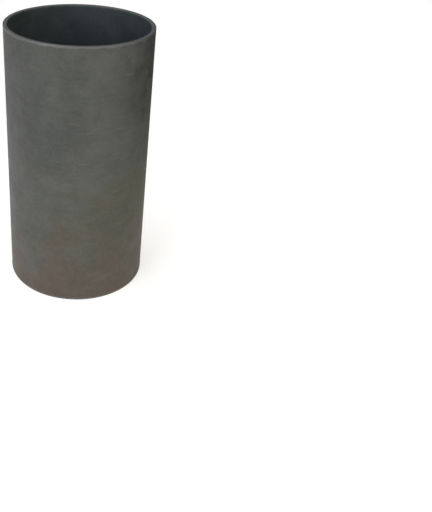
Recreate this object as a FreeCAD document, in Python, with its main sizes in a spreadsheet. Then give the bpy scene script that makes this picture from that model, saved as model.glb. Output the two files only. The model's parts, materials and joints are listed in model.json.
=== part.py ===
"""A short length of light-wall galvanized steel pipe, sawn square at both ends.

The pipe stands on its lower end. Its axis is +Z, and the origin is the centre of the
lower end. Sizes are in millimetres, and the "dimensions" spreadsheet drives them all.
"""

import FreeCAD, Part
import os
import Sketcher

SHEET = "dimensions"

# alias, value, what it is
DIMENSIONS = [
    ("outside_diameter", 114.3, "DN 100 (4 inch) steel pipe"),
    ("wall_thickness", 3.05, "schedule 10 wall"),
    ("cut_length", 215.0, "length from sawn end to sawn end"),
    ("outer_edge_break", 0.4, "chamfer round the outside of each end"),
    ("bore_edge_break", 0.3, "chamfer round the bore at each end"),
]

PARTS_FOLDER = "parts"
SAME_RADIUS = 1e-4
SKETCH_ORIGIN = (-1, 1)
CIRCLE_CENTRE = 3


def add_dimensions(doc):
    """The spreadsheet, with one alias for each size."""
    sheet = doc.addObject("Spreadsheet::Sheet", SHEET)
    for row, (alias, value, meaning) in enumerate(DIMENSIONS, start=1):
        sheet.set(f"A{row}", alias)
        sheet.set(f"B{row}", str(value))
        sheet.set(f"C{row}", meaning)
        sheet.setAlias(f"B{row}", alias)
    doc.recompute()
    return sheet


def origin_plane(body, role):
    """One of the body's own origin planes, by its role."""
    return next(f for f in body.Origin.OriginFeatures if f.Role == role)


def add_circle(sketch, radius, diameter_expression):
    """A circle about the sketch's origin whose diameter follows the spreadsheet."""
    circle = sketch.addGeometry(Part.Circle(FreeCAD.Vector(), FreeCAD.Vector(0, 0, 1), radius))
    sketch.addConstraint(
        Sketcher.Constraint("Coincident", circle, CIRCLE_CENTRE, *SKETCH_ORIGIN)
    )
    size = sketch.addConstraint(Sketcher.Constraint("Diameter", circle, 2 * radius))
    sketch.setExpression(f"Constraints[{size}]", diameter_expression)


def add_wall(body, sheet):
    """The round wall, padded up from its ring-shaped section."""
    section = body.newObject("Sketcher::SketchObject", "wall_section")
    section.AttachmentSupport = [(origin_plane(body, "XY_Plane"), "")]
    section.MapMode = "FlatFace"
    outer_radius = sheet.outside_diameter / 2
    bore_diameter = f"{SHEET}.outside_diameter - 2 * {SHEET}.wall_thickness"
    add_circle(section, outer_radius, f"{SHEET}.outside_diameter")
    add_circle(section, outer_radius - sheet.wall_thickness, bore_diameter)

    wall = body.newObject("PartDesign::Pad", "wall")
    wall.Profile = section
    wall.setExpression("Length", f"{SHEET}.cut_length")
    section.Visibility = False
    body.Document.recompute()
    return wall


def rim_edges(feature, radius):
    """The names of a feature's round edges of one radius: one at each end."""
    return [
        f"Edge{number}"
        for number, edge in enumerate(feature.Shape.Edges, start=1)
        if isinstance(edge.Curve, Part.Circle) and abs(edge.Curve.Radius - radius) < SAME_RADIUS
    ]


def break_rims(body, feature, radius, name, size_alias):
    """A small chamfer on both rims of one radius, as a deburring tool leaves them."""
    chamfer = body.newObject("PartDesign::Chamfer", name)
    chamfer.Base = (feature, rim_edges(feature, radius))
    chamfer.setExpression("Size", f"{SHEET}.{size_alias}")
    body.Document.recompute()
    return chamfer


def build_pipe(doc, sheet):
    """The pipe: one rolled and sawn piece."""
    body = doc.addObject("PartDesign::Body", "pipe")
    body.Label = "pipe"
    outer_radius = sheet.outside_diameter / 2
    bore_radius = outer_radius - sheet.wall_thickness
    wall = add_wall(body, sheet)
    outside = break_rims(body, wall, outer_radius, "outer_rims", "outer_edge_break")
    break_rims(body, outside, bore_radius, "bore_rims", "bore_edge_break")
    body.Placement = FreeCAD.Placement()
    return body


def check(doc, bodies):
    """Stops the build if any object failed or a piece is not one sound solid."""
    for item in doc.Objects:
        if {"Invalid", "Error"} & set(item.State):
            raise RuntimeError(f"{item.Label} did not compute: {item.State}")
    for body in bodies:
        shape = body.Shape
        if shape.isNull() or not shape.isValid() or len(shape.Solids) != 1:
            raise RuntimeError(f"{body.Label} is not one valid solid")


def export(bodies):
    """One STEP file for each piece, named by its label."""
    os.makedirs(PARTS_FOLDER, exist_ok=True)
    for body in bodies:
        body.Shape.exportStep(os.path.join(PARTS_FOLDER, f"{body.Label}.step"))


def main():
    doc = FreeCAD.newDocument("steel_pipe")
    sheet = add_dimensions(doc)
    bodies = [build_pipe(doc, sheet)]
    doc.recompute()
    check(doc, bodies)
    export(bodies)
    for body in bodies:
        print(body.Label, body.Shape.BoundBox, f"volume {body.Shape.Volume:.1f} mm3")


main()
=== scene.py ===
"""A short length of dull galvanized steel pipe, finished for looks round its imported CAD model.

The pipe stands on its lower sawn end, with its axis on +Z. Lengths are in metres. The
sidebar of the 3D view has a Pipe tab with one button for the pipe and one for the stage.
"""

import json
import math

import bmesh
import bpy
from bpy.props import FloatProperty, FloatVectorProperty, IntProperty, PointerProperty
from mathutils import Matrix, Vector


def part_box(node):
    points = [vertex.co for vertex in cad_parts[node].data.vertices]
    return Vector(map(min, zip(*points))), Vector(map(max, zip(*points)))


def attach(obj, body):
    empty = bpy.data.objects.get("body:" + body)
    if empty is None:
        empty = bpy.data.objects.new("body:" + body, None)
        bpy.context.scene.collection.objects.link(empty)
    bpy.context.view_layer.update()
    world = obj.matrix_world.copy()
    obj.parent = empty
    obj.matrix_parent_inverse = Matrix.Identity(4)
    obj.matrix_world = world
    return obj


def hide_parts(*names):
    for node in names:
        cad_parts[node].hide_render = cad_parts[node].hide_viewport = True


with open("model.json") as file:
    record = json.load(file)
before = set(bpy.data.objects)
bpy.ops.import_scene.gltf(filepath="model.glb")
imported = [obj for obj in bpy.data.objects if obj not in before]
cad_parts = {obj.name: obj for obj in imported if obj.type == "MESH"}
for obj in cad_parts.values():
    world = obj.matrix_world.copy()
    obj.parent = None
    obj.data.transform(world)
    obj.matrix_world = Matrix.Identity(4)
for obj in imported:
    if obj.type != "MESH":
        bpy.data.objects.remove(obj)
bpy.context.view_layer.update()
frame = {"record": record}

bl_info = {
    "name": "Galvanized Pipe",
    "version": (1, 0, 0),
    "blender": (4, 5, 0),
    "location": "View3D > Sidebar > Pipe",
    "description": "Adds a length of dull galvanized steel pipe and a plain stage round it",
    "category": "Add Mesh",
}

PIPE_NODE = "pipe"
BODY = "root"

MOUNTS = {mount["name"]: mount["dims"] for mount in frame["record"]["mounts"]}
PIPE_LOW, PIPE_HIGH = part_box(PIPE_NODE)
LENGTH = PIPE_HIGH.z - PIPE_LOW.z
OUTSIDE_RADIUS = min(-PIPE_LOW.x, PIPE_HIGH.x, -PIPE_LOW.y, PIPE_HIGH.y)
BORE_RADIUS = MOUNTS["bore"]["r_mm"] / 1000
OUTER_EDGE_BREAK = (LENGTH - MOUNTS["outside"]["length_mm"] / 1000) / 2
BORE_EDGE_BREAK = (LENGTH - MOUNTS["bore"]["length_mm"] / 1000) / 2
SAME_PLACE = 1e-6


# ---------------------------------------------------------------------------
# Sizes and colours that a user may change
# ---------------------------------------------------------------------------


class PipeSizes(bpy.types.PropertyGroup):
    """Sizes of the pipe"""

    outside_radius: FloatProperty(
        name="Outside radius",
        description="Radius of the outer wall",
        default=OUTSIDE_RADIUS,
        min=0.001,
        precision=5,
        subtype="DISTANCE",
        unit="LENGTH",
    )
    bore_radius: FloatProperty(
        name="Bore radius",
        description="Radius of the hole through the pipe",
        default=BORE_RADIUS,
        min=0.001,
        precision=5,
        subtype="DISTANCE",
        unit="LENGTH",
    )
    length: FloatProperty(
        name="Length",
        description="Length from sawn end to sawn end",
        default=LENGTH,
        min=0.01,
        precision=5,
        subtype="DISTANCE",
        unit="LENGTH",
    )
    outer_edge_break: FloatProperty(
        name="Outer edge break",
        description="How far the outer rim edges are rounded back",
        default=OUTER_EDGE_BREAK,
        min=0.00005,
        precision=5,
        subtype="DISTANCE",
        unit="LENGTH",
    )
    bore_edge_break: FloatProperty(
        name="Bore edge break",
        description="How far the rim edges at the bore are rounded back",
        default=BORE_EDGE_BREAK,
        min=0.00005,
        precision=5,
        subtype="DISTANCE",
        unit="LENGTH",
    )
    unevenness: FloatProperty(
        name="Unevenness",
        description="Depth of the slow waves that rolling and dipping leave in the walls",
        default=0.00012,
        min=0.0,
        precision=5,
        subtype="DISTANCE",
        unit="LENGTH",
    )
    steps_round: IntProperty(
        name="Steps round",
        description="Number of faces round the pipe, taken down to a multiple of 12",
        default=360,
        min=24,
    )


class PipeColours(bpy.types.PropertyGroup):
    """Colours of the pipe's finishes"""

    zinc: FloatVectorProperty(
        name="Zinc",
        description="Dulled zinc on the outer wall",
        default=(0.116, 0.120, 0.110),
        min=0.0,
        max=1.0,
        subtype="COLOR",
    )
    zinc_dark: FloatVectorProperty(
        name="Dark zinc",
        description="Darker patches in the zinc",
        default=(0.087, 0.091, 0.084),
        min=0.0,
        max=1.0,
        subtype="COLOR",
    )
    # Partly real and partly painted shade: darker and bluer than the outer zinc, standing in for the shade
    # inside the pipe.
    bore: FloatVectorProperty(
        name="Bore",
        description="Zinc inside the pipe",
        default=(0.050, 0.067, 0.075),
        min=0.0,
        max=1.0,
        subtype="COLOR",
    )
    sawn_steel: FloatVectorProperty(
        name="Sawn steel",
        description="Cut metal at both ends",
        default=(0.215, 0.22, 0.225),
        min=0.0,
        max=1.0,
        subtype="COLOR",
    )
    # Partly real staining and partly painted warm light: a warm tint over the lower part that rises on the
    # right.
    stain: FloatVectorProperty(
        name="Stain",
        description="Faint olive stain over the lower part",
        default=(0.117, 0.111, 0.080),
        min=0.0,
        max=1.0,
        subtype="COLOR",
    )
    # Partly real staining and partly painted warm light from the floor, near the lower end.
    brown_stain_and_floor_light: FloatVectorProperty(
        name="Brown stain and floor light",
        description="Faint brown cast close to the lower end",
        default=(0.124, 0.096, 0.082),
        min=0.0,
        max=1.0,
        subtype="COLOR",
    )
    worn: FloatVectorProperty(
        name="Worn zinc",
        description="Rubbed zinc along the rim edges and in scuffs",
        default=(0.20, 0.205, 0.20),
        min=0.0,
        max=1.0,
        subtype="COLOR",
    )
    white_oxide: FloatVectorProperty(
        name="White oxide",
        description="Pale specks on the zinc",
        default=(0.24, 0.24, 0.23),
        min=0.0,
        max=1.0,
        subtype="COLOR",
    )
    dark_oxide: FloatVectorProperty(
        name="Dark oxide",
        description="Dark specks on the zinc",
        default=(0.045, 0.040, 0.034),
        min=0.0,
        max=1.0,
        subtype="COLOR",
    )


class StageSettings(bpy.types.PropertyGroup):
    """Light and floor of the stage"""

    floor_colour: FloatVectorProperty(
        name="Floor",
        description="Colour of the pale floor",
        default=(0.86, 0.86, 0.86),
        min=0.0,
        max=1.0,
        subtype="COLOR",
    )
    floor_glow: FloatProperty(
        name="Floor glow",
        description="How much the floor shines by itself, as a lit table does",
        default=0.5,
        min=0.0,
    )
    key_power: FloatProperty(
        name="Key light",
        description="Power of the large soft light in front on the left",
        default=4.0,
        min=0.0,
        unit="POWER",
    )
    fill_power: FloatProperty(
        name="Fill light",
        description="Power of the warm light on the right",
        default=1.4,
        min=0.0,
        unit="POWER",
    )
    room_light: FloatProperty(
        name="Room light",
        description="Strength of the soft light from the front and the left",
        default=0.80,
        min=0.0,
    )
    room_shade: FloatProperty(
        name="Room shade",
        description="Strength of the soft light from the right and behind",
        default=0.03,
        min=0.0,
    )
    lens: FloatProperty(
        name="Lens",
        description="Focal length of the camera in millimetres",
        default=47.5,
        min=1.0,
    )


# ---------------------------------------------------------------------------
# Modelling helpers
# ---------------------------------------------------------------------------


def start_piece(name):
    """Names the active new primitive and applies its place to its mesh."""
    piece = bpy.context.object
    piece.name = piece.data.name = name
    bpy.ops.object.transform_apply(location=True, rotation=True, scale=True)
    return piece


def deselect_all():
    """Leaves nothing selected, CAD nodes included."""
    bpy.ops.object.select_all(action="DESELECT")
    bpy.context.view_layer.objects.active = None


def pick(piece, kind, wanted):
    """Selects the piece's vertices, edges or faces for which wanted is true, in edit mode."""
    bpy.ops.mesh.select_mode(type={"verts": "VERT", "edges": "EDGE", "faces": "FACE"}[kind])
    bpy.ops.mesh.select_all(action="DESELECT")
    shape = bmesh.from_edit_mesh(piece.data)
    for element in getattr(shape, kind):
        if wanted(element):
            element.select_set(True)
    shape.select_flush_mode()
    bmesh.update_edit_mesh(piece.data)


def edge_middle(edge):
    """Returns the middle point of an edge."""
    return (edge.verts[0].co + edge.verts[1].co) / 2


# ---------------------------------------------------------------------------
# Node helpers
# ---------------------------------------------------------------------------


def put(tree, kind, inputs=None, **settings):
    """Adds a shader node, sets it up, and fills its inputs with values or links."""
    node = tree.nodes.new("ShaderNode" + kind)
    for name, value in settings.items():
        setattr(node, name, value)
    for name, value in (inputs or {}).items():
        if isinstance(value, bpy.types.NodeSocket):
            tree.links.new(value, node.inputs[name])
        else:
            node.inputs[name].default_value = value
    return node


def maths(tree, way, first, second=0.0):
    """Returns the result of one sum on two values."""
    return put(tree, "Math", {0: first, 1: second}, operation=way).outputs[0]


def grey_of(tree, *shades):
    """Returns the product of some shades as a grey."""
    shade = shades[0]
    for other in shades[1:]:
        shade = maths(tree, "MULTIPLY", shade, other)
    return put(tree, "CombineColor", {0: shade, 1: shade, 2: shade}).outputs[0]


def weighted(tree, *parts):
    """Returns the sum of (value, weight) pairs."""
    total = None
    for value, weight in parts:
        share = maths(tree, "MULTIPLY", value, weight)
        total = share if total is None else maths(tree, "ADD", total, share)
    return total


def remap(tree, value, low, high, to_low=0.0, to_high=1.0, way="SMOOTHSTEP"):
    """Returns value moved from the range low to high onto to_low to to_high."""
    inputs = {"Value": value, "From Min": low, "From Max": high, "To Min": to_low, "To Max": to_high}
    return put(tree, "MapRange", inputs, interpolation_type=way).outputs["Result"]


def swing(tree, value, span, low=0.0, high=1.0):
    """Returns a factor from 1 - span to 1 + span as value goes from low to high."""
    return remap(tree, value, low, high, 1.0 - span, 1.0 + span, "LINEAR")


def mix_colours(tree, amount, first, second, way="MIX"):
    """Returns first with second laid over it by amount."""
    node = put(tree, "Mix", {0: amount}, data_type="RGBA", blend_type=way)
    for socket, colour in ((node.inputs[6], first), (node.inputs[7], second)):
        if isinstance(colour, bpy.types.NodeSocket):
            tree.links.new(colour, socket)
        else:
            socket.default_value = (*colour, 1.0)
    return node.outputs[2]


def stretched(tree, place, scale, turn=(0.0, 0.0, 0.0)):
    """Returns the place with each axis multiplied by its scale, then turned."""
    return put(tree, "Mapping", {"Vector": place, "Scale": scale, "Rotation": turn}).outputs["Vector"]


def noise(tree, place, scale, detail=2.0, roughness=0.5):
    """Returns soft noise about 0.5 at a place."""
    inputs = {"Vector": place, "Scale": scale, "Detail": detail, "Roughness": roughness}
    return put(tree, "TexNoise", inputs).outputs[0]


def new_group(name, inputs, outputs):
    """Starts a node group. Inputs are (name, kind, default), outputs are (name, kind)."""
    tree = bpy.data.node_groups.new(name, "ShaderNodeTree")
    for label, kind, default in inputs:
        socket = tree.interface.new_socket(label, in_out="INPUT", socket_type=kind)
        if default is not None:
            socket.default_value = default
    for label, kind in outputs:
        tree.interface.new_socket(label, in_out="OUTPUT", socket_type=kind)
    return tree, tree.nodes.new("NodeGroupInput").outputs, tree.nodes.new("NodeGroupOutput").inputs


def place_group(tree, group, **inputs):
    """Adds a node group to a material and fills its inputs. Returns its outputs."""
    node = tree.nodes.new("ShaderNodeGroup")
    node.node_tree = group
    for name, value in inputs.items():
        socket = node.inputs[name.replace("_", " ").capitalize()]
        if isinstance(value, bpy.types.NodeSocket):
            tree.links.new(value, socket)
        else:
            socket.default_value = value
    return node.outputs


# ---------------------------------------------------------------------------
# Effects shared by the finishes
# ---------------------------------------------------------------------------

FLOAT, VECTOR = "NodeSocketFloat", "NodeSocketVector"
NOISE_LOW, NOISE_HIGH = 0.3, 0.7
BROAD_SHARE, CLOSE_SHARE, CLOSE_SCALE = 0.7, 0.3, 3.7
EDGE_DRIFT, EDGE_SCALE, JOINT_WIDTH = 0.7, 3.5, 0.07
HAIRLINE_BREAKS, HAIRLINE_WIDTH = 90.0, 0.012
SPECK_CHANCE, SPECK_REACH, SPECK_EDGE = 0.55, 0.17, 0.06
RIM_BREAKS = 260.0
# Clouds of the lower tints, which are partly staining and partly painted warm light.
STAIN_AND_LIGHT_CLOUDS, STAIN_AND_LIGHT_SWING = 38.0, 0.45


def tarnish_group():
    """Cloudy patches of two sizes, as dulled zinc has."""
    tree, given, out = new_group(
        "Tarnish", [("Place", VECTOR, None), ("Patch size", FLOAT, 0.03)], [("Mask", FLOAT)]
    )
    scale = maths(tree, "DIVIDE", 1.0, given["Patch size"])
    broad = noise(tree, given["Place"], scale, 3.0, 0.55)
    close = noise(tree, given["Place"], maths(tree, "MULTIPLY", scale, CLOSE_SCALE), 3.0, 0.6)
    both = weighted(tree, (broad, BROAD_SHARE), (close, CLOSE_SHARE))
    tree.links.new(remap(tree, both, 0.34, 0.66), out["Mask"])
    return tree


def spangle_group():
    """Flat zinc crystals with ragged edges, each with its own shade, and the joints between them."""
    tree, given, out = new_group(
        "Spangle",
        [("Place", VECTOR, None), ("Crystal size", FLOAT, 0.008)],
        [("Shade", FLOAT), ("Joints", FLOAT)],
    )
    scale = maths(tree, "DIVIDE", 1.0, given["Crystal size"])
    ragged = {"Vector": given["Place"], "Scale": maths(tree, "MULTIPLY", scale, EDGE_SCALE), "Detail": 4.0}
    drift = put(tree, "TexNoise", ragged).outputs["Color"]
    drift = put(tree, "VectorMath", {0: drift, 1: (0.5, 0.5, 0.5)}, operation="SUBTRACT").outputs[0]
    reach = maths(tree, "MULTIPLY", given["Crystal size"], EDGE_DRIFT)
    drift = put(tree, "VectorMath", {0: drift, "Scale": reach}, operation="SCALE").outputs[0]
    moved = put(tree, "VectorMath", {0: given["Place"], 1: drift}, operation="ADD").outputs[0]
    cells = put(tree, "TexVoronoi", {"Vector": moved, "Scale": scale}, feature="F1").outputs
    joints = put(tree, "TexVoronoi", {"Vector": moved, "Scale": scale}, feature="DISTANCE_TO_EDGE")
    tree.links.new(put(tree, "SeparateColor", {0: cells["Color"]}).outputs[0], out["Shade"])
    distance = joints.outputs["Distance"]
    tree.links.new(remap(tree, distance, 0.0, JOINT_WIDTH, 1.0, 0.0), out["Joints"])
    return tree


def grain_group():
    """The fine tooth of a matt metal coat."""
    tree, given, out = new_group(
        "Grain", [("Place", VECTOR, None), ("Grain size", FLOAT, 0.0008)], [("Height", FLOAT)]
    )
    scale = maths(tree, "DIVIDE", 1.0, given["Grain size"])
    tree.links.new(noise(tree, given["Place"], scale, 2.0, 0.6), out["Height"])
    return tree


def rubbing_group():
    """Faint streaks and hairlines round the pipe, and short light scuffs that lie along them."""
    tree, given, out = new_group(
        "Rubbing",
        [("Place", VECTOR, None), ("Streak width", FLOAT, 0.0016)],
        [("Streaks", FLOAT), ("Scuffs", FLOAT), ("Hairlines", FLOAT)],
    )
    fine = maths(tree, "DIVIDE", 1.0, given["Streak width"])
    streaks = noise(tree, stretched(tree, given["Place"], (0.06, 0.06, 1.0)), fine, 3.0, 0.55)
    short = stretched(tree, given["Place"], (0.17, 0.17, 1.0), (0.06, -0.04, 0.0))
    marks = noise(tree, short, maths(tree, "MULTIPLY", fine, 0.8), 1.0, 0.4)
    slant = stretched(tree, given["Place"], (0.12, 0.12, 1.0), (0.5, 0.3, 0.2))
    waves = noise(tree, slant, maths(tree, "MULTIPLY", fine, 0.4), 2.0, 0.5)
    off_line = maths(tree, "ABSOLUTE", maths(tree, "SUBTRACT", waves, 0.5))
    broken = remap(tree, noise(tree, given["Place"], HAIRLINE_BREAKS, 1.0), 0.52, 0.60)
    lines = remap(tree, off_line, 0.0, HAIRLINE_WIDTH, 1.0, 0.0)
    hairlines = maths(tree, "MULTIPLY", lines, broken)
    tree.links.new(remap(tree, streaks, NOISE_LOW, NOISE_HIGH), out["Streaks"])
    tree.links.new(remap(tree, marks, 0.68, 0.78), out["Scuffs"])
    tree.links.new(hairlines, out["Hairlines"])
    return tree


def specks_group():
    """Scattered small specks of white and dark oxide, each with its own size and tone."""
    tree, given, out = new_group(
        "Specks", [("Place", VECTOR, None), ("Spacing", FLOAT, 0.004)], [("Mask", FLOAT), ("Tone", FLOAT)]
    )
    scale = maths(tree, "DIVIDE", 1.0, given["Spacing"])
    dots = put(tree, "TexVoronoi", {"Vector": given["Place"], "Scale": scale}, feature="F1").outputs
    chance = put(tree, "SeparateColor", {0: dots["Color"]}).outputs
    reach = remap(tree, chance[0], SPECK_CHANCE, 1.0, 0.0, SPECK_REACH, "LINEAR")
    inner = maths(tree, "SUBTRACT", reach, dots["Distance"])
    tree.links.new(remap(tree, inner, 0.0, SPECK_EDGE), out["Mask"])
    tree.links.new(chance[1], out["Tone"])
    return tree


def rim_wear_group():
    """A mask that is 1 at both ends of the pipe and fades unevenly along it."""
    tree, given, out = new_group(
        "Rim Wear",
        [("Place", VECTOR, None), ("Pipe length", FLOAT, 0.2), ("Reach", FLOAT, 0.002)],
        [("Mask", FLOAT)],
    )
    height = put(tree, "SeparateXYZ", {0: given["Place"]}).outputs["Z"]
    from_top = maths(tree, "SUBTRACT", given["Pipe length"], height)
    to_end = maths(tree, "MINIMUM", height, from_top)
    ragged = noise(tree, given["Place"], RIM_BREAKS, 3.0, 0.6)
    reach = maths(tree, "MULTIPLY", given["Reach"], maths(tree, "MULTIPLY", ragged, 2.0))
    share = maths(tree, "DIVIDE", to_end, reach)
    tree.links.new(remap(tree, share, 0.25, 1.0, 1.0, 0.0), out["Mask"])
    return tree


def stain_and_warm_light_group():
    """A mask that thins out upwards in uneven clouds, and reaches higher on the side it leans to. It is
    partly real staining and partly painted warm light on the lower part of the pipe.
    """
    tree, given, out = new_group(
        "Stain",
        [("Place", VECTOR, None), ("Stain height", FLOAT, 0.11), ("Lean", FLOAT, 0.0)],
        [("Mask", FLOAT)],
    )
    spot = put(tree, "SeparateXYZ", {0: given["Place"]}).outputs
    lean = maths(tree, "MULTIPLY", spot["X"], given["Lean"])
    level = maths(tree, "DIVIDE", maths(tree, "SUBTRACT", spot["Z"], lean), given["Stain height"])
    clouds = noise(tree, given["Place"], STAIN_AND_LIGHT_CLOUDS, 3.0, 0.55)
    raised = remap(tree, clouds, NOISE_LOW, NOISE_HIGH, -STAIN_AND_LIGHT_SWING, STAIN_AND_LIGHT_SWING, "LINEAR")
    ragged = maths(tree, "ADD", level, raised)
    tree.links.new(remap(tree, ragged, 0.0, 1.0, 1.0, 0.0), out["Mask"])
    return tree


def saw_marks_group():
    """Straight fine lines across a sawn end."""
    tree, given, out = new_group(
        "Saw Marks", [("Place", VECTOR, None), ("Line width", FLOAT, 0.0005)], [("Height", FLOAT)]
    )
    lines = stretched(tree, given["Place"], (1.0, 0.03, 0.0))
    scale = maths(tree, "DIVIDE", 1.0, given["Line width"])
    tree.links.new(noise(tree, lines, scale, 2.0, 0.6), out["Height"])
    return tree


def shared_groups():
    """Builds every shared effect once and returns them by name."""
    return {
        "tarnish": tarnish_group(),
        "spangle": spangle_group(),
        "grain": grain_group(),
        "rubbing": rubbing_group(),
        "rim_wear": rim_wear_group(),
        "stain": stain_and_warm_light_group(),
        "specks": specks_group(),
        "saw_marks": saw_marks_group(),
    }


# ---------------------------------------------------------------------------
# Finishes
# ---------------------------------------------------------------------------

CLOUDS_MOVED = (-0.16, -0.161, -0.169)
CLOUD_SHADES = (0.85, 1.10)
# Shares of the two lower tints, each partly staining and partly painted warm light.
STAIN_AND_LIGHT_SHARE, BROWN_STAIN_AND_LIGHT_SHARE = 0.75, 0.76
SPECK_SHARE, BORE_SPECK_SHARE = 0.55, 0.6
RIM_SHARE, BORE_RIM_SHARE = 0.6, 0.5
SCUFF_SHARE, HAIRLINE_SHARE, JOINT_SHARE = 0.22, 0.12, 0.08
ZINC_METALLIC, BORE_METALLIC, SAWN_METALLIC = 0.7, 0.45, 0.8
ZINC_ROUGHNESS, BORE_ROUGHNESS, SAWN_ROUGHNESS = 0.475, (0.60, 0.70), (0.62, 0.50)
ZINC_RELIEF, BORE_RELIEF, SAWN_RELIEF = 0.00008, 0.00010, 0.00010


def start_finish(name):
    """Starts a material. Returns it with its tree, its Principled shader and Object coordinates."""
    finish = bpy.data.materials.new(name)
    finish.use_nodes = True
    tree = finish.node_tree
    shader = tree.nodes["Principled BSDF"]
    return finish, tree, shader, put(tree, "TexCoord").outputs["Object"]


def bump(tree, shader, height, distance):
    """Feeds a height, up to a distance in metres, into the shader's normal."""
    made = put(tree, "Bump", {"Height": height, "Distance": distance, "Strength": 1.0})
    tree.links.new(made.outputs["Normal"], shader.inputs["Normal"])


def dull_zinc_finish(groups, colours, length):
    """Old matt zinc on the outer wall: clouded and faintly crystalline, with a warm tint low down that is
    partly staining and partly painted warm light.
    """
    finish, tree, shader, place = start_finish("dull zinc")
    moved = put(tree, "Mapping", {"Vector": place, "Location": CLOUDS_MOVED}).outputs["Vector"]
    clouds = place_group(tree, groups["tarnish"], place=moved, patch_size=0.042)["Mask"]
    blots = place_group(tree, groups["tarnish"], place=place, patch_size=0.011)["Mask"]
    crystals = place_group(tree, groups["spangle"], place=place, crystal_size=0.008)
    tooth = place_group(tree, groups["grain"], place=place, grain_size=0.0009)["Height"]
    rubbed = place_group(tree, groups["rubbing"], place=place, streak_width=0.0018)
    specks = place_group(tree, groups["specks"], place=place, spacing=0.0045)
    rim = place_group(tree, groups["rim_wear"], place=place, pipe_length=length, reach=0.0022)["Mask"]
    # Partly staining and partly painted warm light: a warm tint low down that rises on the right, and a
    # redder cast near the floor.
    stain = place_group(tree, groups["stain"], place=place, stain_height=0.15, lean=0.9)["Mask"]
    brown_stain_and_floor_light = place_group(tree, groups["stain"], place=place, stain_height=0.075, lean=-0.1)["Mask"]

    colour = mix_colours(tree, clouds, colours.zinc_dark, colours.zinc)
    colour = mix_colours(tree, maths(tree, "MULTIPLY", stain, STAIN_AND_LIGHT_SHARE), colour, colours.stain)
    colour = mix_colours(tree, maths(tree, "MULTIPLY", brown_stain_and_floor_light, BROWN_STAIN_AND_LIGHT_SHARE), colour, colours.brown_stain_and_floor_light)
    grey = grey_of(
        tree,
        swing(tree, blots, 0.035),
        swing(tree, crystals["Shade"], 0.065),
        swing(tree, rubbed["Streaks"], 0.025),
        swing(tree, tooth, 0.07, NOISE_LOW, NOISE_HIGH),
    )
    colour = mix_colours(tree, 1.0, colour, grey, "MULTIPLY")
    oxide = mix_colours(tree, specks["Tone"], colours.dark_oxide, colours.white_oxide)
    colour = mix_colours(tree, maths(tree, "MULTIPLY", specks["Mask"], SPECK_SHARE), colour, oxide)
    bright = maths(tree, "MULTIPLY", rim, RIM_SHARE)
    for mark, share in (
        (rubbed["Scuffs"], SCUFF_SHARE),
        (rubbed["Hairlines"], HAIRLINE_SHARE),
        (crystals["Joints"], JOINT_SHARE),
    ):
        bright = maths(tree, "MAXIMUM", bright, maths(tree, "MULTIPLY", mark, share))
    colour = mix_colours(tree, bright, colour, colours.worn)
    tree.links.new(colour, shader.inputs["Base Color"])

    gloss = weighted(tree, (crystals["Shade"], 0.15), (tooth, 0.08), (bright, -0.15), (stain, 0.12))
    tree.links.new(maths(tree, "ADD", gloss, ZINC_ROUGHNESS), shader.inputs["Roughness"])
    shader.inputs["Metallic"].default_value = ZINC_METALLIC
    height = weighted(
        tree,
        (tooth, 0.5),
        (crystals["Shade"], 0.25),
        (rubbed["Streaks"], 0.25),
        (blots, 0.8),
        (specks["Mask"], 0.3),
    )
    bump(tree, shader, height, ZINC_RELIEF)
    return finish


def bore_zinc_and_shade_finish(groups, colours, length):
    """Zinc inside the bore, with coarser runs and more oxide. Its colour is darker and bluer than the
    outer zinc, partly real and partly painted shade of the bore.
    """
    finish, tree, shader, place = start_finish("bore zinc")
    clouds = place_group(tree, groups["tarnish"], place=place, patch_size=0.022)["Mask"]
    crystals = place_group(tree, groups["spangle"], place=place, crystal_size=0.007)
    tooth = place_group(tree, groups["grain"], place=place, grain_size=0.0011)["Height"]
    specks = place_group(tree, groups["specks"], place=place, spacing=0.0040)
    rim = place_group(tree, groups["rim_wear"], place=place, pipe_length=length, reach=0.0014)["Mask"]

    grey = grey_of(
        tree,
        swing(tree, crystals["Shade"], 0.08),
        remap(tree, clouds, 0.0, 1.0, *CLOUD_SHADES, "LINEAR"),
        swing(tree, tooth, 0.10, NOISE_LOW, NOISE_HIGH),
    )
    # Painted shade: the bore colour is kept dark and bluish for the shade inside the pipe.
    colour = mix_colours(tree, 1.0, colours.bore, grey, "MULTIPLY")
    oxide = mix_colours(tree, specks["Tone"], colours.dark_oxide, colours.zinc)
    colour = mix_colours(tree, maths(tree, "MULTIPLY", specks["Mask"], BORE_SPECK_SHARE), colour, oxide)
    colour = mix_colours(tree, maths(tree, "MULTIPLY", rim, BORE_RIM_SHARE), colour, colours.worn)
    tree.links.new(colour, shader.inputs["Base Color"])

    roughness = remap(tree, clouds, 0.0, 1.0, *BORE_ROUGHNESS, "LINEAR")
    tree.links.new(roughness, shader.inputs["Roughness"])
    shader.inputs["Metallic"].default_value = BORE_METALLIC
    height = weighted(tree, (tooth, 0.7), (crystals["Shade"], 0.3), (clouds, 0.8))
    bump(tree, shader, height, BORE_RELIEF)
    return finish


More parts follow.
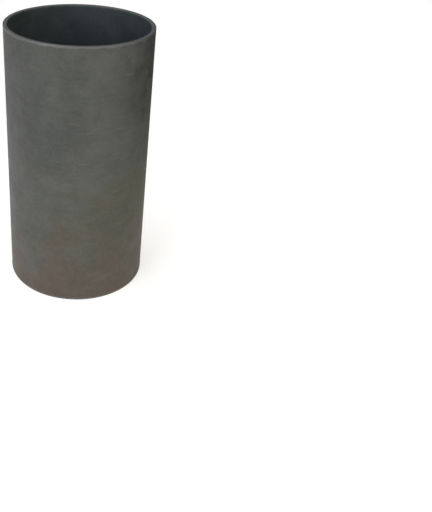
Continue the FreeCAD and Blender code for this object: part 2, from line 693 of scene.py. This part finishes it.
def sawn_end_finish(groups, colours):
    """Cut metal on the two rims, with straight saw marks, dulled since it was cut."""
    finish, tree, shader, place = start_finish("sawn end")
    lines = place_group(tree, groups["saw_marks"], place=place, line_width=0.0006)["Height"]
    clouds = place_group(tree, groups["tarnish"], place=place, patch_size=0.012)["Mask"]
    tooth = place_group(tree, groups["grain"], place=place, grain_size=0.0006)["Height"]

    grey = grey_of(
        tree,
        swing(tree, lines, 0.20, NOISE_LOW, NOISE_HIGH),
        remap(tree, clouds, 0.0, 1.0, *CLOUD_SHADES, "LINEAR"),
    )
    colour = mix_colours(tree, 1.0, colours.sawn_steel, grey, "MULTIPLY")
    tree.links.new(colour, shader.inputs["Base Color"])
    roughness = remap(tree, clouds, 0.0, 1.0, *SAWN_ROUGHNESS, "LINEAR")
    tree.links.new(roughness, shader.inputs["Roughness"])
    shader.inputs["Metallic"].default_value = SAWN_METALLIC
    bump(tree, shader, weighted(tree, (lines, 1.0), (tooth, 0.4)), SAWN_RELIEF)
    return finish


# ---------------------------------------------------------------------------
# The pipe
# ---------------------------------------------------------------------------

OUTER_ROWS, BORE_ROWS, RIM_ROWS = 100, 100, 3
BREAK_SEGMENTS = 3
SECTORS = 12
SMOOTH_ANGLE = math.radians(40)
LEVEL = 0.9
FLAT_END = 0.004
WAVES = (("long waves", 0.05, 0.7), ("short waves", 0.012, 0.3))


def wall_section(sizes):
    """Adds the wall's section at +X as a flat plane, and breaks its four corners."""
    wall = sizes.outside_radius - sizes.bore_radius
    middle = Vector((sizes.outside_radius - wall / 2, 0, sizes.length / 2))
    bpy.ops.mesh.primitive_plane_add(size=1, location=middle, rotation=(math.pi / 2, 0, 0))
    bpy.context.object.scale = (wall, sizes.length, 1)
    piece = start_piece("pipe_wall")
    bpy.ops.object.mode_set(mode="EDIT")
    for outer, depth in ((True, sizes.outer_edge_break), (False, sizes.bore_edge_break)):
        corner = sizes.outside_radius if outer else sizes.bore_radius
        pick(piece, "verts", lambda v: abs(v.co.x - corner) < SAME_PLACE)
        bpy.ops.mesh.bevel(
            offset=depth, offset_type="OFFSET", segments=BREAK_SEGMENTS, profile=0.5, affect="VERTICES"
        )
    return piece


def divide_section(piece, sizes):
    """Leaves only the section's outline, and divides its short and long runs into rows."""
    bpy.ops.mesh.select_all(action="SELECT")
    bpy.ops.mesh.delete(type="ONLY_FACE")
    middle = sizes.length / 2
    rim = (sizes.outside_radius - sizes.bore_radius) / 2
    runs = (
        (RIM_ROWS, lambda e: rim < e.calc_length() < 2 * rim),
        (OUTER_ROWS, lambda e: e.calc_length() > middle and edge_middle(e).x > sizes.outside_radius - rim),
        (BORE_ROWS, lambda e: e.calc_length() > middle and edge_middle(e).x < sizes.bore_radius + rim),
    )
    for rows, wanted in runs:
        pick(piece, "edges", wanted)
        bpy.ops.mesh.subdivide(number_cuts=rows - 1)


def spin_section(piece, steps):
    """Turns the outline through one sector, copies that sector round, and closes the seams."""
    sector = 2 * math.pi / SECTORS
    turning = {"center": (0, 0, 0), "axis": (0, 0, 1)}
    bpy.ops.mesh.select_all(action="SELECT")
    bpy.ops.mesh.spin(steps=steps // SECTORS, angle=sector, **turning)
    bpy.ops.mesh.select_all(action="SELECT")
    bpy.ops.mesh.spin(steps=SECTORS - 1, angle=2 * math.pi - sector, dupli=True, **turning)
    bpy.ops.mesh.select_all(action="SELECT")
    bpy.ops.mesh.remove_doubles(threshold=SAME_PLACE)
    bpy.ops.mesh.normals_make_consistent(inside=False)


def give_finishes(piece, sizes, finishes):
    """Puts the three finishes on the outer wall, the bore and the sawn ends."""
    for finish in finishes:
        piece.data.materials.append(finish)
    middle = (sizes.outside_radius + sizes.bore_radius) / 2

    def in_bore(face):
        spot = face.calc_center_median()
        return math.hypot(spot.x, spot.y) < middle and abs(face.normal.z) < LEVEL

    choices = ((1, in_bore), (2, lambda face: abs(face.normal.z) > LEVEL))
    for slot, wanted in choices:
        pick(piece, "faces", wanted)
        piece.active_material_index = slot
        bpy.ops.object.material_slot_assign()


def make_uneven(piece, sizes):
    """Sinks the walls a little in slow waves, and leaves both ends flat."""
    group = "walls"
    inside = [v.index for v in piece.data.vertices if FLAT_END < v.co.z < sizes.length - FLAT_END]
    piece.vertex_groups.new(name=group).add(inside, 1.0, "REPLACE")
    for name, wave, share in WAVES:
        clouds = bpy.data.textures.new(name, "CLOUDS")
        clouds.noise_scale = wave
        bpy.ops.object.modifier_add(type="DISPLACE")
        waves = piece.modifiers[-1]
        waves.name = name
        waves.texture = clouds
        waves.texture_coords = "LOCAL"
        waves.strength = sizes.unevenness * share
        waves.mid_level = 1.0
        waves.vertex_group = group
        bpy.ops.object.modifier_apply(modifier=name)
    piece.vertex_groups.clear()


class PIPE_OT_add_pipe(bpy.types.Operator):
    """Add the pipe, a spun wall with rounded rim edges and a dull zinc finish"""

    bl_idname = "pipe.add_pipe"
    bl_label = "Add Pipe"
    bl_options = {"REGISTER", "UNDO"}

    def execute(self, context):
        sizes, colours = context.scene.pipe_sizes, context.scene.pipe_colours
        if sizes.bore_radius >= sizes.outside_radius:
            raise ValueError("the bore has to be smaller than the outside")
        deselect_all()
        pipe = wall_section(sizes)
        divide_section(pipe, sizes)
        spin_section(pipe, sizes.steps_round)
        groups = shared_groups()
        finishes = (
            dull_zinc_finish(groups, colours, sizes.length),
            bore_zinc_and_shade_finish(groups, colours, sizes.length),
            sawn_end_finish(groups, colours),
        )
        give_finishes(pipe, sizes, finishes)
        bpy.ops.object.mode_set(mode="OBJECT")
        make_uneven(pipe, sizes)
        bpy.ops.object.shade_smooth_by_angle(angle=SMOOTH_ANGLE)
        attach(pipe, BODY)
        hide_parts(PIPE_NODE)
        return {"FINISHED"}


# ---------------------------------------------------------------------------
# The stage
# ---------------------------------------------------------------------------

CAMERA_PLACE = (0.0, -0.4996, 0.3557)
CAMERA_TURN, CAMERA_TILT, CAMERA_ROLL = (math.radians(a) for a in (3.54, 29.16, 2.59))
CAMERA_SHIFT = (0.1992, -0.1367)
CLIP_START, CLIP_END = 0.01, 20.0
SENSOR_WIDTH = 36.0
FLOOR_RADIUS, FLOOR_FADE, FLOOR_SIDES = 0.42, 0.12, 96
FLOOR_ROUGHNESS, FLOOR_SPECULAR = 0.9, 0.2
KEY_PLACE, KEY_SIZE = (-0.75, -0.85, 0.55), 0.7
FILL_PLACE, FILL_SIZE = (0.9, -0.35, 0.5), 0.5
PLAIN_WHITE, WARM_WHITE = (1.0, 1.0, 1.0), (1.0, 0.90, 0.55)
SHADED_SIDE = Vector((0.64, 0.77, 0.0))
SHADE_STARTS, SHADE_FULL = 0.2, 0.75


def add_soft_light(name, place, size, power, colour):
    """Adds a square soft light that faces the middle of the pipe."""
    aim = Vector((0, 0, LENGTH / 2)) - Vector(place)
    turn = aim.to_track_quat("-Z", "Y").to_euler()
    bpy.ops.object.light_add(type="AREA", location=place, rotation=turn)
    lamp = bpy.context.object
    lamp.name = lamp.data.name = name
    lamp.data.shape = "SQUARE"
    lamp.data.size = size
    lamp.data.energy = power
    lamp.data.color = colour


def add_floor(colour, glow):
    """Adds a round pale floor that fades into the plain background."""
    bpy.ops.mesh.primitive_circle_add(vertices=FLOOR_SIDES, radius=FLOOR_RADIUS, fill_type="NGON")
    floor = start_piece("floor")
    finish, tree, shader, place = start_finish("pale floor")
    flat = stretched(tree, place, (1.0, 1.0, 0.0))
    away = put(tree, "VectorMath", {0: flat}, operation="LENGTH").outputs["Value"]
    cover = remap(tree, away, FLOOR_FADE, FLOOR_RADIUS, 1.0, 0.0)
    shader.inputs["Base Color"].default_value = (*colour, 1.0)
    shader.inputs["Roughness"].default_value = FLOOR_ROUGHNESS
    shader.inputs["Specular IOR Level"].default_value = FLOOR_SPECULAR
    shader.inputs["Emission Color"].default_value = (*PLAIN_WHITE, 1.0)
    shader.inputs["Emission Strength"].default_value = glow
    tree.links.new(cover, shader.inputs["Alpha"])
    floor.data.materials.append(finish)


def add_room(room_light, room_shade):
    """Gives the world a plain white look, and a soft light that is weak from the right and behind."""
    world = bpy.data.worlds.new("room")
    world.use_nodes = True
    bpy.context.scene.world = world
    tree = world.node_tree
    light = tree.nodes["Background"]
    way = put(tree, "TexCoord").outputs["Generated"]
    facing = put(tree, "VectorMath", {0: way, 1: SHADED_SIDE}, operation="DOT_PRODUCT").outputs["Value"]
    strength = remap(tree, facing, SHADE_STARTS, SHADE_FULL, room_light, room_shade)
    seen = put(tree, "LightPath").outputs["Is Camera Ray"]
    light.inputs["Color"].default_value = (*PLAIN_WHITE, 1.0)
    tree.links.new(maths(tree, "MAXIMUM", strength, seen), light.inputs["Strength"])


def add_camera(lens):
    """Adds the camera, above the pipe and in front of it."""
    turn = (
        Matrix.Rotation(-CAMERA_TURN, 3, "Z")
        @ Matrix.Rotation(math.pi / 2 - CAMERA_TILT, 3, "X")
        @ Matrix.Rotation(CAMERA_ROLL, 3, "Z")
    )
    bpy.ops.object.camera_add(location=CAMERA_PLACE, rotation=turn.to_euler())
    camera = bpy.context.object
    camera.name = "camera"
    camera.data.lens = lens
    camera.data.sensor_width = SENSOR_WIDTH
    camera.data.shift_x, camera.data.shift_y = CAMERA_SHIFT
    camera.data.clip_start, camera.data.clip_end = CLIP_START, CLIP_END
    bpy.context.scene.camera = camera


class PIPE_OT_add_stage(bpy.types.Operator):
    """Add a pale floor, soft studio light and the camera"""

    bl_idname = "pipe.add_stage"
    bl_label = "Add Stage"
    bl_options = {"REGISTER", "UNDO"}

    def execute(self, context):
        stage = context.scene.pipe_stage
        deselect_all()
        add_floor(stage.floor_colour, stage.floor_glow)
        add_soft_light("key", KEY_PLACE, KEY_SIZE, stage.key_power, PLAIN_WHITE)
        add_soft_light("fill", FILL_PLACE, FILL_SIZE, stage.fill_power, WARM_WHITE)
        add_room(stage.room_light, stage.room_shade)
        add_camera(stage.lens)
        context.scene.view_settings.view_transform = "Standard"
        return {"FINISHED"}


# ---------------------------------------------------------------------------
# Sidebar and registration
# ---------------------------------------------------------------------------


class PIPE_PT_sidebar(bpy.types.Panel):
    """Buttons for the pipe and the stage, with their settings"""

    bl_idname = "PIPE_PT_sidebar"
    bl_label = "Galvanized Pipe"
    bl_space_type = "VIEW_3D"
    bl_region_type = "UI"
    bl_category = "Pipe"

    def draw(self, context):
        scene = context.scene
        for operator, groups in (
            (PIPE_OT_add_pipe, (scene.pipe_sizes, scene.pipe_colours)),
            (PIPE_OT_add_stage, (scene.pipe_stage,)),
        ):
            box = self.layout.box()
            box.operator(operator.bl_idname)
            for group in groups:
                for name in group.__annotations__:
                    box.prop(group, name)


CLASSES = (
    PipeSizes,
    PipeColours,
    StageSettings,
    PIPE_OT_add_pipe,
    PIPE_OT_add_stage,
    PIPE_PT_sidebar,
)


def register():
    """Registers the classes and hangs their settings on the scene."""
    for made in CLASSES:
        bpy.utils.register_class(made)
    bpy.types.Scene.pipe_sizes = PointerProperty(type=PipeSizes)
    bpy.types.Scene.pipe_colours = PointerProperty(type=PipeColours)
    bpy.types.Scene.pipe_stage = PointerProperty(type=StageSettings)


def unregister():
    """Takes the settings off the scene and unregisters the classes."""
    del bpy.types.Scene.pipe_stage
    del bpy.types.Scene.pipe_colours
    del bpy.types.Scene.pipe_sizes
    for made in reversed(CLASSES):
        bpy.utils.unregister_class(made)


def main():
    """Makes the pipe and the stage."""
    register()
    bpy.ops.pipe.add_pipe()
    bpy.ops.pipe.add_stage()


if __name__ == "__main__":
    main()
